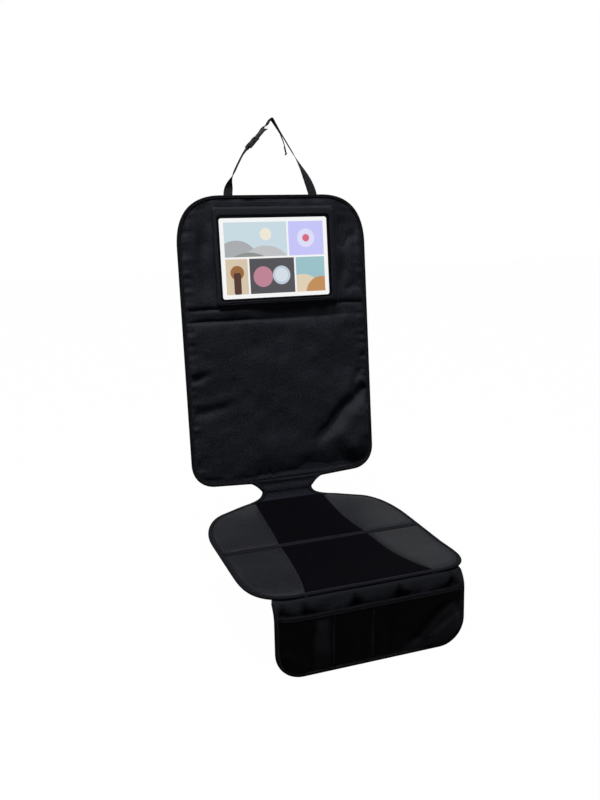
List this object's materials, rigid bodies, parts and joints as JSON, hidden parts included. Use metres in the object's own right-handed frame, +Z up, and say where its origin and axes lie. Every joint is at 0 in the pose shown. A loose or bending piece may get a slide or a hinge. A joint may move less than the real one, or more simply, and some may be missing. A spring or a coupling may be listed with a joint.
{
  "type": "car seat protector",
  "caption": "Car seat protector: padded back panel with a tablet pocket and headrest strap, bound seat mat with leather-look panels, and a hanging flap with mesh pockets.",
  "frame": {"origin": "centre of the flat part of the seat mat's underside", "axes": "+Z up, +X to the right as seen from the front, +Y towards the back panel"},
  "size_m": [0.438, 0.5921, 0.9718],
  "materials": {
    "polyester": "matt woven polyester",
    "leather_look": "satin grained leather-look",
    "dark_cloth": "matt dark cloth",
    "edge_tape": "ribbed binding tape",
    "mesh": "open knitted mesh",
    "webbing": "woven webbing",
    "buckle_plastic": "moulded satin",
    "tablet_shell": "smooth matt",
    "tablet_front": "gloss display glass with a black border",
    "clear_film": "clear flexible film"
  },
  "bodies": {
    "mat": {"back_panel": "polyester", "back_binding": "edge_tape", "tablet_pocket_frame": "polyester", "pocket_top_band": "polyester", "tablet_window": "clear_film", "tablet_body": "tablet_shell", "tablet_glass": "tablet_front", "strap_left": "webbing", "strap_right": "webbing", "buckle_socket": "buckle_plastic", "seat_base": "dark_cloth", "seat_binding": "edge_tape", "seat_side_rear_left": "leather_look", "seat_side_rear_right": "leather_look", "seat_side_front_left": "leather_look", "seat_side_front_right": "leather_look", "seat_centre_rear": "dark_cloth", "seat_centre_front": "dark_cloth", "seat_cross_tape": "edge_tape", "front_flap": "dark_cloth", "flap_binding": "edge_tape", "flap_pocket_mesh": "mesh", "pocket_top_tape": "edge_tape"},
    "plug": {"buckle_plug": "buckle_plastic"}
  },
  "joints": [
    {"name": "buckle_release", "type": "slide", "parent": "mat", "child": "plug", "axis": [0.6947, 0.1001, 0.7123], "range_m": [0, 0.022], "deforming": ["buckle_plug", "strap_right"]}
  ]
}
